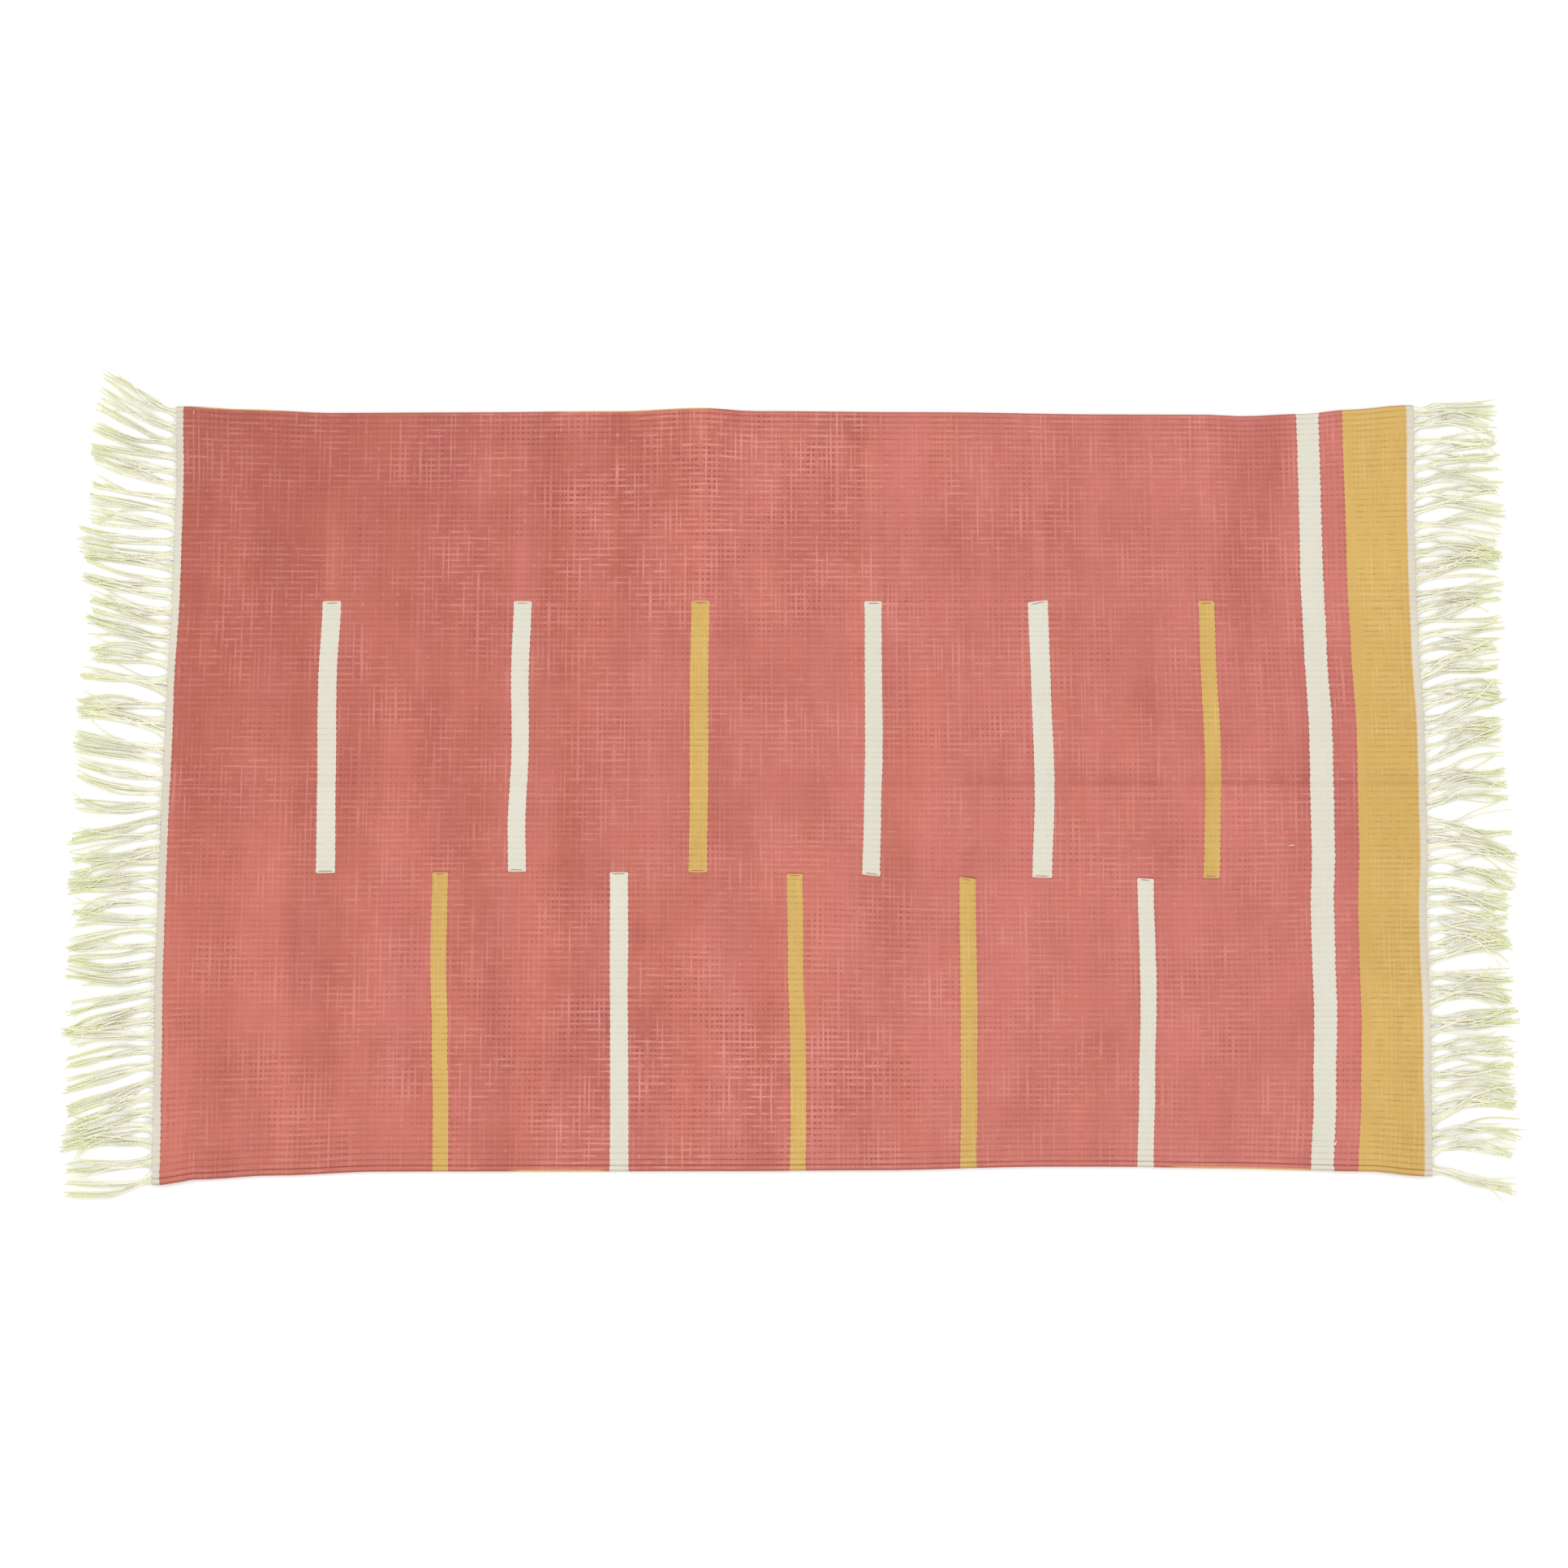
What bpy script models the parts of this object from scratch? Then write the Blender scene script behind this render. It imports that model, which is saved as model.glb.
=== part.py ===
# Flat-woven cotton rug with inlaid bars, end bands and a loose fringe.
# Metres. +X runs along the rug, +Y towards its back selvedge, +Z up.
# The origin is the middle of the underside. A lengthwise crease at FOLD_Y
# divides the weave, so every band that crosses it is two pieces.

from math import pi

import bpy
import bmesh
from mathutils import Matrix, Vector

# Driving dimensions
WEAVE_LENGTH = 0.979      # coloured weft, end to end
WIDTH = 0.600             # selvedge to selvedge
THICKNESS = 0.0042
HEADING = 0.0060          # cream band that closes each end
FRINGE_REACH = 0.0745     # from the heading to the tassel tips
GAP = 0.0003              # clearance between neighbouring pieces
FOLD_Y = 0.0              # lengthwise crease

# Full-width bands: name, where each starts and ends along X, colour
WHITE_STRIPE = (0.4052, 0.4231)
CORAL_STRIPE_END = 0.4421

# Inlaid bars: middle along X, width and colour
LONG_BARS = [
    (-0.3670, 0.0144, "white"), (-0.2160, 0.0138, "white"), (-0.0745, 0.0144, "mustard"),
    (0.0620, 0.0136, "white"), (0.1950, 0.0154, "white"), (0.3280, 0.0126, "mustard"),
]
EDGE_BARS = [
    (-0.2745, 0.0119, "mustard"), (-0.1355, 0.0140, "white"), (0.0024, 0.0121, "mustard"),
    (0.1354, 0.0125, "mustard"), (0.2736, 0.0124, "white"),
]
LONG_BAR_TOP = 0.146      # back end of the long bars
BAR_MEETING = -0.071      # long bars end here and edge bars start

# What runs inside the weft
SLOT_HEIGHT = 0.0012
WARP_HEIGHT = 0.0006
SLOT_WALL = 0.0012        # weft left at each inner end of a slot
SLOT_FROM_SELVEDGE = 0.0045
CORD_RADIUS = 0.0011
CHANNEL_RADIUS = 0.0015
CORD_FROM_SELVEDGE = 0.0023
SELVEDGE_ROUND = 0.0016
CUT_HALF_LENGTH = 1.0     # slots and channels run right through every band
ROUND_SIDES = 8

# Fringe
TASSELS_PER_HALF = 27
TASSELS_IN_GROUP = [6, 5, 5, 5, 6]
TASSEL_HEIGHT = 0.0032
KNOT_ROW = 0.0025         # row of knots that the tassels hang from
TASSEL_HALF_WIDTHS = [(0.0, 0.0022), (0.45, 0.0029), (1.0, 0.0032)]
FAN = 0.022               # sideways sweep of the corner tassels
FAN_CURVE = 1.5           # how much of the sweep comes late along a tassel

COLOURS = {
    "coral": (0.59, 0.19, 0.16),
    "white": (0.78, 0.745, 0.644),
    "mustard": (0.716, 0.456, 0.156),
    "cream": (0.76, 0.70, 0.55),
    "ecru": (0.74, 0.70, 0.56),
}
YARN_ROUGHNESS = 0.92

NEAR = 1e-6
HALF_WIDTH = WIDTH / 2
HALF_WEAVE = WEAVE_LENGTH / 2
HALF_BODY = HALF_WEAVE + HEADING
BORDERS = [-HALF_WIDTH, BAR_MEETING, FOLD_Y, LONG_BAR_TOP, HALF_WIDTH]
WARP_NAMES = ["warp_front_outer", "warp_front_inner", "warp_back_inner", "warp_back_outer"]


def clear_scene():
    for old in list(bpy.data.objects):
        bpy.data.objects.remove(old, do_unlink=True)


def new_collection(name):
    made = bpy.data.collections.new(name)
    bpy.context.scene.collection.children.link(made)
    return made


def paint(piece, colour):
    material = bpy.data.materials.new(piece.name)
    material.use_nodes = True
    shader = material.node_tree.nodes["Principled BSDF"]
    shader.inputs["Base Color"].default_value = (*COLOURS[colour], 1.0)
    shader.inputs["Roughness"].default_value = YARN_ROUGHNESS
    shader.inputs["Metallic"].default_value = 0.0
    piece.data.materials.append(material)


def add_box(bm, low, high):
    size = Vector(high) - Vector(low)
    middle = (Vector(high) + Vector(low)) / 2
    place = Matrix.Translation(middle) @ Matrix.Diagonal((*size, 1.0))
    bmesh.ops.create_cube(bm, size=1.0, matrix=place)


def mesh_object(name, bm, collection):
    mesh = bpy.data.meshes.new(name)
    bm.to_mesh(mesh)
    bm.free()
    made = bpy.data.objects.new(name, mesh)
    collection.objects.link(made)
    return made


def cutter(name, bm):
    made = mesh_object(name, bm, cutters)
    made.hide_render = True
    made.display_type = "WIRE"
    return made


def slot_spans():
    # Where each band of warp yarns runs, between the ends of the bars.
    spans = []
    for low, high in zip(BORDERS[:-1], BORDERS[1:]):
        inset_low = SLOT_FROM_SELVEDGE if low == -HALF_WIDTH else SLOT_WALL
        inset_high = SLOT_FROM_SELVEDGE if high == HALF_WIDTH else SLOT_WALL
        spans.append((low + inset_low, high - inset_high))
    return spans


def slot_cutter():
    bm = bmesh.new()
    bottom = (THICKNESS - SLOT_HEIGHT) / 2
    for low, high in slot_spans():
        add_box(bm, (-CUT_HALF_LENGTH, low, bottom), (CUT_HALF_LENGTH, high, bottom + SLOT_HEIGHT))
    return cutter("warp_slots", bm)


def channel_cutter():
    # Two round channels along the selvedges, for the edge cords.
    bm = bmesh.new()
    for side in (-1, 1):
        place = Vector((0.0, side * (HALF_WIDTH - CORD_FROM_SELVEDGE), THICKNESS / 2))
        turn = Matrix.Rotation(pi / 2, 4, "Y")
        bmesh.ops.create_cone(
            bm, cap_ends=True, segments=ROUND_SIDES, radius1=CHANNEL_RADIUS, radius2=CHANNEL_RADIUS,
            depth=2 * CUT_HALF_LENGTH, matrix=Matrix.Translation(place) @ turn)
    return cutter("cord_channels", bm)


def window_cutter():
    # Openings in the coral weft, each one gap larger than the bar that fills it.
    bm = bmesh.new()
    bottom, top = -THICKNESS, 2 * THICKNESS
    for middle, width, colour in LONG_BARS:
        half = width / 2 + GAP
        add_box(bm, (middle - half, BAR_MEETING - GAP, bottom), (middle + half, LONG_BAR_TOP + GAP, top))
    for middle, width, colour in EDGE_BARS:
        half = width / 2 + GAP
        add_box(bm, (middle - half, -WIDTH, bottom), (middle + half, BAR_MEETING, top))
    return cutter("bar_windows", bm)


def at_selvedge(edge):
    # The two long edges on the outside of the rug.
    a, b = edge.verts
    outside = all(abs(abs(vert.co.y) - HALF_WIDTH) < NEAR for vert in edge.verts)
    return outside and abs(a.co.x - b.co.x) > NEAR


def woven(name, x_span, y_span, colour, tools):
    # A closed slab of weft with its selvedge rounded and the warp's room cut through it.
    bm = bmesh.new()
    low = (x_span[0] + GAP / 2, y_span[0], 0.0)
    high = (x_span[1] - GAP / 2, y_span[1], THICKNESS)
    add_box(bm, low, high)
    edges = [edge for edge in bm.edges if at_selvedge(edge)]
    if edges:
        bmesh.ops.bevel(
            bm, geom=edges, offset=SELVEDGE_ROUND, segments=3, profile=0.5,
            affect="EDGES", material=-1)
    made = mesh_object(name, bm, rug)
    for tool in tools:
        cut = made.modifiers.new(tool.name, "BOOLEAN")
        cut.operation = "DIFFERENCE"
        cut.solver = "EXACT"
        cut.object = tool
    paint(made, colour)
    return made


def two_halves(name, x_span, colour, tools):
    woven(name + "_front", x_span, (-HALF_WIDTH, FOLD_Y - GAP / 2), colour, tools)
    woven(name + "_back", x_span, (FOLD_Y + GAP / 2, HALF_WIDTH), colour, tools)


def bar_span(middle, width):
    # Windows already hold the gap, so the bar's own span is widened to cancel woven's.
    half = (width + GAP) / 2
    return middle - half, middle + half


def long_bars(tools):
    for number, (middle, width, colour) in enumerate(LONG_BARS, 1):
        name = f"long_bar_{number}_{colour}"
        span = bar_span(middle, width)
        woven(name + "_front", span, (BAR_MEETING, FOLD_Y - GAP / 2), colour, tools)
        woven(name + "_back", span, (FOLD_Y + GAP / 2, LONG_BAR_TOP), colour, tools)


def edge_bars(tools):
    for number, (middle, width, colour) in enumerate(EDGE_BARS, 1):
        name = f"edge_bar_{number}_{colour}"
        woven(name, bar_span(middle, width), (-HALF_WIDTH, BAR_MEETING - GAP), colour, tools)


def warp_bands():
    bottom = (THICKNESS - WARP_HEIGHT) / 2
    for name, (low, high) in zip(WARP_NAMES, slot_spans()):
        bm = bmesh.new()
        add_box(bm, (-HALF_BODY, low + GAP, bottom), (HALF_BODY, high - GAP, bottom + WARP_HEIGHT))
        paint(mesh_object(name, bm, rug), "ecru")


def selvedge_cord(name, side):
    path = bpy.data.curves.new(name, "CURVE")
    path.dimensions = "3D"
    path.bevel_depth = CORD_RADIUS
    path.bevel_resolution = 2
    path.use_fill_caps = True
    line = path.splines.new("POLY")
    line.points.add(1)
    y = side * (HALF_WIDTH - CORD_FROM_SELVEDGE)
    line.points[0].co = (-HALF_BODY, y, THICKNESS / 2, 1.0)
    line.points[1].co = (HALF_BODY, y, THICKNESS / 2, 1.0)
    made = bpy.data.objects.new(name, path)
    rug.objects.link(made)
    paint(made, "ecru")


def sweep(y):
    # Tassels fan outwards, more towards the corners.
    return FAN * y / HALF_WIDTH


def tassel_outline(end, y):
    # Up one side of a tassel to its tip and back down the other.
    root = HALF_BODY + GAP + KNOT_ROW
    reach = FRINGE_REACH - KNOT_ROW - GAP
    near, far = [], []
    for along, half in TASSEL_HALF_WIDTHS:
        x = end * (root + reach * along)
        middle = y + sweep(y) * along ** FAN_CURVE
        near.append((x, middle - half))
        far.append((x, middle + half))
    return near + far[::-1]


def tassel_group(name, end, ys, pitch):
    # A row of knots with its tassels, as one comb-shaped piece lying on the floor.
    inner = end * (HALF_BODY + GAP)
    points = [(inner, ys[0] - (pitch - GAP) / 2)]
    points.append((end * (HALF_BODY + GAP + KNOT_ROW), ys[0] - (pitch - GAP) / 2))
    for y in ys:
        points += tassel_outline(end, y)
    points.append((end * (HALF_BODY + GAP + KNOT_ROW), ys[-1] + (pitch - GAP) / 2))
    points.append((inner, ys[-1] + (pitch - GAP) / 2))
    outline = bpy.data.curves.new(name, "CURVE")
    outline.dimensions = "2D"
    outline.fill_mode = "BOTH"
    outline.extrude = TASSEL_HEIGHT / 2
    line = outline.splines.new("POLY")
    line.points.add(len(points) - 1)
    for point, (x, y) in zip(line.points, points):
        point.co = (x, y, 0.0, 1.0)
    line.use_cyclic_u = True
    made = bpy.data.objects.new(name, outline)
    made.location = (0.0, 0.0, TASSEL_HEIGHT / 2)
    rug.objects.link(made)
    paint(made, "ecru")


def fringe(end_name, end):
    pitch = HALF_WIDTH / TASSELS_PER_HALF
    for half_name, side in (("front", -1), ("back", 1)):
        first = 0
        for number, count in enumerate(TASSELS_IN_GROUP, 1):
            ys = [side * (first + i + 0.5) * pitch for i in range(count)]
            first += count
            tassel_group(f"fringe_{end_name}_{half_name}_{number}", end, sorted(ys), pitch)


clear_scene()
rug = new_collection("flatwoven_rug")
cutters = new_collection("cutters")

slots = slot_cutter()
channels = channel_cutter()
windows = window_cutter()

two_halves("coral_field", (-HALF_WEAVE, WHITE_STRIPE[0]), "coral", [windows, slots, channels])
two_halves("white_stripe", WHITE_STRIPE, "white", [slots, channels])
two_halves("coral_stripe", (WHITE_STRIPE[1], CORAL_STRIPE_END), "coral", [slots, channels])
two_halves("mustard_band", (CORAL_STRIPE_END, HALF_WEAVE), "mustard", [slots, channels])
two_halves("heading_left", (-HALF_BODY, -HALF_WEAVE), "cream", [slots, channels])
two_halves("heading_right", (HALF_WEAVE, HALF_BODY), "cream", [slots, channels])
long_bars([slots])
edge_bars([slots, channels])
warp_bands()
selvedge_cord("selvedge_cord_front", -1)
selvedge_cord("selvedge_cord_back", 1)
fringe("left", -1)
fringe("right", 1)
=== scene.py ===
import math
import random

import bmesh
import bpy
import numpy as np
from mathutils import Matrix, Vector, noise


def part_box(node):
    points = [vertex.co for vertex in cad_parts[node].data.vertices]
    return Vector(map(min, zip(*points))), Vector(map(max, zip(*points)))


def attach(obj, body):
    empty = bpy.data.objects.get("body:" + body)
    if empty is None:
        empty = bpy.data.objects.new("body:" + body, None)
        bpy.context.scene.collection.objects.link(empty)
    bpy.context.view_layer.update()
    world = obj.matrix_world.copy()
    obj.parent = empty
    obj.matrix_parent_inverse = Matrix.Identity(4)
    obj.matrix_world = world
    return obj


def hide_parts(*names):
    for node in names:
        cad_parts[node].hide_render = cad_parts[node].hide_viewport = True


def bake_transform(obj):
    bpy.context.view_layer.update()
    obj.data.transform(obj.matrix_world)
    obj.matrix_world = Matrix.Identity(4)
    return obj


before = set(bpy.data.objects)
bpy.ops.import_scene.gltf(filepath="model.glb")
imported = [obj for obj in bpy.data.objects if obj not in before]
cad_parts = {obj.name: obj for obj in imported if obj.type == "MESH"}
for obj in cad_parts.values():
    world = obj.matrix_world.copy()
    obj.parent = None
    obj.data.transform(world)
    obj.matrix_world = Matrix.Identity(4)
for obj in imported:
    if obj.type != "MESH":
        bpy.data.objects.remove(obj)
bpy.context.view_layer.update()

millimetre = 0.001


def meshFrom(bm, name):
    mesh = bpy.data.meshes.new(name)
    bm.to_mesh(mesh)
    bm.free()
    return mesh


def addObject(name, data):
    made = bpy.data.objects.new(name, data)
    bpy.context.scene.collection.objects.link(made)
    return made


def nodesNamed(prefix):
    return sorted(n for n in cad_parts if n.startswith(prefix))


# sizes read from the frame
backLow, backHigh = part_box("coral_field_back")
halfWidth = backHigh.y
thickness = backHigh.z
foldY = (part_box("coral_field_front")[1].y + backLow.y) / 2
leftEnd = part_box("heading_left_front")[0].x
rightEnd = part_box("heading_right_front")[1].x


# the colour areas from left to right, and the seams between them
areas = ("heading_left", "coral_field", "white_stripe", "coral_stripe", "mustard_band", "heading_right")
seams = ("weaveLeft", "whiteLeft", "whiteRight", "mustardLeft", "weaveRight")
bounds = {
    name: (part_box(left + "_front")[1].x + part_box(right + "_front")[0].x) / 2
    for name, left, right in zip(seams, areas[:-1], areas[1:])
}

# how far a bar strays sideways on its way across the rug: (place across, millimetres)
barDrift = {
    "long_bar_1": [(-0.071, 1.2), (0.000, 0.2), (0.080, -1.2), (0.146, 1.4)],
    "long_bar_2": [(-0.071, -0.2), (-0.035, -0.9), (0.023, 0.8), (0.080, -0.2), (0.146, 1.4)],
    "long_bar_3": [(-0.071, -0.4), (0.000, 0.2), (0.080, -0.3), (0.146, 0.6)],
    "long_bar_4": [(-0.071, -1.6), (-0.030, -0.5), (0.030, 0.5), (0.146, 1.1)],
    "long_bar_5": [(-0.071, -0.8), (-0.010, 1.5), (0.080, 0.0), (0.146, -1.4)],
    "long_bar_6": [(-0.071, -0.8), (0.010, 0.9), (0.080, 0.4), (0.146, 0.3)],
    "edge_bar_1": [(-0.300, 2.4), (-0.260, 2.0), (-0.200, 0.0), (-0.140, -2.0), (-0.071, -1.4)],
    "edge_bar_2": [(-0.300, 1.0), (-0.200, 0.4), (-0.140, -0.4), (-0.071, -1.0)],
    "edge_bar_3": [(-0.300, 0.6), (-0.260, 1.3), (-0.200, 0.7), (-0.140, -1.1), (-0.071, -1.8)],
    "edge_bar_4": [(-0.300, -0.4), (-0.250, 0.4), (-0.150, 0.4), (-0.071, 0.0)],
    "edge_bar_5": [(-0.300, 0.2), (-0.240, 0.8), (-0.140, 2.2), (-0.071, 1.5)],
}
bars = []
for node in nodesNamed("long_bar") + nodesNamed("edge_bar"):
    if node.endswith("_back"):
        continue
    low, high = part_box(node)
    name = node.replace("_front", "")
    if node.endswith("_front"):
        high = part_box(name + "_back")[1]
    bars.append({
        "name": name, "left": low.x, "right": high.x, "low": low.y, "high": high.y,
        "drift": next(keys for start, keys in barDrift.items() if name.startswith(start)),
        "long": node.endswith("_front"),
    })
barMeeting = (max(b["high"] for b in bars if not b["long"]) + min(b["low"] for b in bars if b["long"])) / 2
longBarTop = max(b["high"] for b in bars)

# the weave: one rib over each warp end, running along X
weave = {
    "ribPitch": 0.00458,    # centre to centre of the ribs
    "jitter": 0.12,         # how uneven the ribs are, as a share of the pitch
    "ribDepth": 0.00021,    # crest above valley, on each face
    "selvedge": 0.0043,     # width of the thick rib over the edge cords
    "selvedgeReach": 0.012, # the ribs stand out more this near to a selvedge
    "rimRound": 0.0021,
    "jointWidth": 0.0011,   # the surface rounds down into the seam between two colours
    "jointDepth": 0.00020,
    "columnStep": 0.0130,
}
fold = {"start": foldY - 0.002, "end": foldY + 0.008, "dip": 0.00026, "dipWidth": 0.0018}
rng = random.Random(11)


def ribEdges():
    inner = halfWidth - weave["selvedge"]
    count = round(2 * inner / weave["ribPitch"])
    made = [-inner + 2 * inner * i / count for i in range(count + 1)]
    for i in range(1, count):
        made[i] += rng.uniform(-1, 1) * weave["jitter"] * weave["ribPitch"]
    for fixed in (foldY, barMeeting, longBarTop):
        nearest = min(range(1, count), key=lambda i: abs(made[i] - fixed))
        made[nearest] = fixed
    return made


edges = ribEdges()
rows = []  # place across, crest height from 0 to 1, share of the half thickness, rib number with its fraction
rimSteps = [0.0, 0.04, 0.16, 0.36, 0.64, 1.0]


def rimRows(side):
    made = []
    for step in rimSteps:
        share = math.sqrt(max(0.02, 1 - (1 - step) ** 2))
        made.append((side * (halfWidth - step * weave["rimRound"]), 1.0, share, step * 0.4))
    for step in (0.62, 0.85):
        v = side * (halfWidth - step * weave["selvedge"])
        made.append((v, math.sin(math.pi * step), 1.0, 0.2 + 0.6 * step))
    return made


def crestAt(part):
    return math.sin(math.pi * part) ** 0.8 if part > 0 else 0.0


def buildRows():
    rows.extend(rimRows(-1))
    for i in range(len(edges) - 1):
        span = edges[i + 1] - edges[i]
        bends = edges[i + 1] > fold["start"] and edges[i] < fold["end"]
        parts = (0.0, 0.16, 0.33, 0.5, 0.67, 0.84) if bends else (0.0, 0.3, 0.7)
        rows.extend((edges[i] + span * part, crestAt(part), 1.0, 1 + i + part) for part in parts)
    rows.append((edges[-1], 0.0, 1.0, float(len(edges))))
    for v, crest, share, number in reversed(rimRows(1)):
        rows.append((v, crest, share, len(edges) + 1 - number))


buildRows()
rowV = [r[0] for r in rows]
lastRow = len(rows) - 1
ribTotal = len(edges) + 1
ribScale = [0.75 + 0.5 * rng.random() for _ in range(ribTotal + 2)]
ribNudge = [rng.uniform(-1, 1) for _ in range(ribTotal + 2)]


def rowAt(v):
    return min(range(len(rows)), key=lambda i: abs(rowV[i] - v))


foldRow = rowAt(foldY)


def wave(a, b, seed):
    return noise.noise(Vector((a, b, seed)))


def blendKeys(keys, at):
    # smooth reading of a short list of (place, value) pairs
    if at <= keys[0][0]:
        return keys[0][1]
    for (a, va), (b, vb) in zip(keys[:-1], keys[1:]):
        if at <= b:
            t = (at - a) / (b - a)
            return va + (vb - va) * t * t * (3 - 2 * t)
    return keys[-1][1]


# how the rug lies: (place, millimetres) along each of its edges
lay = {
    "backEdge": [(-0.49, 4.7), (-0.44, 2.4), (-0.37, -0.6), (-0.25, -0.1), (-0.14, 0.9), (-0.075, 3.5),
                 (-0.03, 0.7), (0.10, 0.2), (0.25, -1.7), (0.33, -2.0), (0.362, -3.3), (0.41, -1.3),
                 (0.45, 2.2), (0.49, 5.7)],
    "frontEdge": [(-0.49, -11.2), (-0.46, -6.9), (-0.40, -3.8), (-0.32, -0.8), (-0.05, -0.7), (0.06, 0.3),
                  (0.20, 3.0), (0.25, 3.0), (0.33, 1.7), (0.45, -0.8), (0.49, -4.6)],
    "ribSag": [(-0.40, 0.5), (-0.22, 1.9), (-0.13, 1.5), (0.00, 0.0), (0.13, -3.2), (0.33, -3.6),
               (0.46, -1.0)],
    "sagAt": -0.085,
    "sagReach": 0.10,
    "stripeBow": [(-0.30, -8.8), (-0.24, -5.0), (-0.17, -2.6), (-0.10, -2.8), (-0.045, -0.4), (0.04, 0.0),
                  (0.11, -2.2), (0.17, -3.4), (0.30, -3.6)],
    "rightCorners": [(-0.30, 3.2), (-0.23, 1.0), (-0.15, 0.0), (0.10, 0.4), (0.20, 1.5), (0.30, 3.8)],
    "leftBow": [(-0.30, 2.2), (-0.22, 1.2), (-0.15, -0.6), (-0.03, 0.0), (0.07, 1.0), (0.16, 3.2),
                (0.24, 3.4), (0.30, 1.6)],
    "lift": 0.0036,         # rise per metre away from the crease
    "liftNear": 0.00012,
    "curl": 0.0011,         # and of its corners
    "bowFrom": -0.10,       # the weft lines bend more and more from here to the right-hand end
    "bowReach": 0.515,
    "weftStray": 0.0006,
    "ribStray": 0.0005,
}


def fade(value, start, end):
    t = max(0.0, min(1.0, (value - start) / (end - start)))
    return t * t * (3 - 2 * t)


def bow(u, v):
    share = max(0.0, min(1.0, (u - lay["bowFrom"]) / lay["bowReach"])) ** 3
    right = share * blendKeys(lay["stripeBow"], v)
    right += fade(u, 0.445, rightEnd) * blendKeys(lay["rightCorners"], v)
    left = fade(u, -0.38, leftEnd) * blendKeys(lay["leftBow"], v)
    return (right + left) * millimetre + lay["weftStray"] * wave(v * 9, u * 4, 3.1)


def edgeShift(u, v):
    keys = lay["frontEdge"] if v < 0 else lay["backEdge"]
    outer = blendKeys(keys, u) * abs(v / halfWidth) ** 4
    sag = blendKeys(lay["ribSag"], u) * math.exp(-((v - lay["sagAt"]) / lay["sagReach"]) ** 2)
    given = (outer + sag) * millimetre * fade(abs(v - foldY), 0.0, 0.05)
    return given + lay["ribStray"] * wave(u * 7, v * 5, 8.4)


def lift(u, v):
    # the rug lies slightly proud of the floor, most at its corners
    room = lay["liftNear"] + lay["lift"] * abs(v - foldY)
    ripple = 0.5 + 0.5 * wave(u * 5.2, v * 6.5, 1.7)
    corner = fade(abs(u), 0.42, rightEnd) * fade(abs(v), 0.25, halfWidth)
    return room * ripple ** 2 + lay["curl"] * corner


def creaseDip(u, v):
    strength = 0.5 + 0.5 * fade(u, -0.1, 0.2)
    return fold["dip"] * strength * math.exp(-((v - foldY) / fold["dipWidth"]) ** 2)


def surface(u, i, side, sink):
    # a point on the top or bottom face; sink takes thickness off where two colours meet
    v, crest, share, number = rows[i]
    depth = weave["ribDepth"] * (1 + 0.6 * math.exp(-(halfWidth - abs(v)) / weave["selvedgeReach"]))
    half = thickness / 2 - depth * (1 - crest * ribScale[int(number)])
    half = (half - creaseDip(u, v) - sink) * share
    x = u + bow(u, v)
    y = v + edgeShift(u, v)
    z = lift(u, v) + thickness / 2 + side * half
    return Vector((x, y, max(z, 0.0)))


def boundaryAt(border, i):
    # one colour laps over the other at each rib's crest and the line strays a little
    v, crest, share, number = rows[i]
    nudge = ribNudge[(int(number) * 3 + border["seed"] * 17) % len(ribNudge)]
    tooth = border["bulge"] * ((crest - 0.45) * 1.7 + 0.55 * nudge)
    drift = blendKeys(border["drift"], v) * millimetre if border["drift"] else 0.0
    line = border["at"] + border["outward"] * tooth + drift
    return line + lay["weftStray"] * wave(v * 14, border["seed"] * 1.7, 3.3)


def column(u, border=None, held=None, sink=0.0, joint=0.0):
    return {"u": u, "border": border, "held": held, "sink": sink, "joint": joint}


def borderColumns(border, held, side):
    # the seam itself, and where the face has risen again beside it
    at = border["at"]
    seamColumn = column(at, border, held, weave["jointDepth"], 1.0)
    beside = column(at + side * weave["jointWidth"], border, held)
    return [seamColumn, beside] if side > 0 else [beside, seamColumn]


fringe = {
    "perHalf": 27,          # tassels on each half of an end
    "yarns": 8,
    "radius": 0.00058,
    "length": {"left": 0.0715, "right": 0.0690},
    "ragged": 0.0030,
    "uneven": 0.0024,
    "tucked": 0.0022,       # how deep a yarn starts inside the heading
    "rootHalf": 0.0046,     # the yarns of one tassel leave the heading this far to each side
    "neckHalf": 0.0022,     # and gather into a bundle this wide
    "neckAt": 0.10,
    "turns": 11,
    "steps": 26,
    "gapHalf": 0.0010,      # half width of the painted shadow between two tassels
}
# a stray yarn leaves its tassel, a tame one stays with it
stray = {"share": 0.22, "drift": (0.003, 0.011), "hook": 0.010, "shorter": 0.014, "layer": 2.0}
tame = {"drift": 0.0008, "hook": 0.0018, "curl": 0.0003, "layers": (0.0, 0.0, 1.7)}
pitch = halfWidth / fringe["perHalf"]
onLine = 0.0001  # nearer than this to a line counts as on it


def tasselGapShadow(u, v):
    # painted shadow on the heading's outer edge between one tassel and the next
    if min(abs(u - leftEnd), abs(u - rightEnd)) > onLine:
        return 0.0
    number = round(v / pitch)
    strength = random.Random(f"gap {number} {u > 0}").random()
    return strength * math.exp(-((v - number * pitch) / fringe["gapHalf"]) ** 2)


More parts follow.
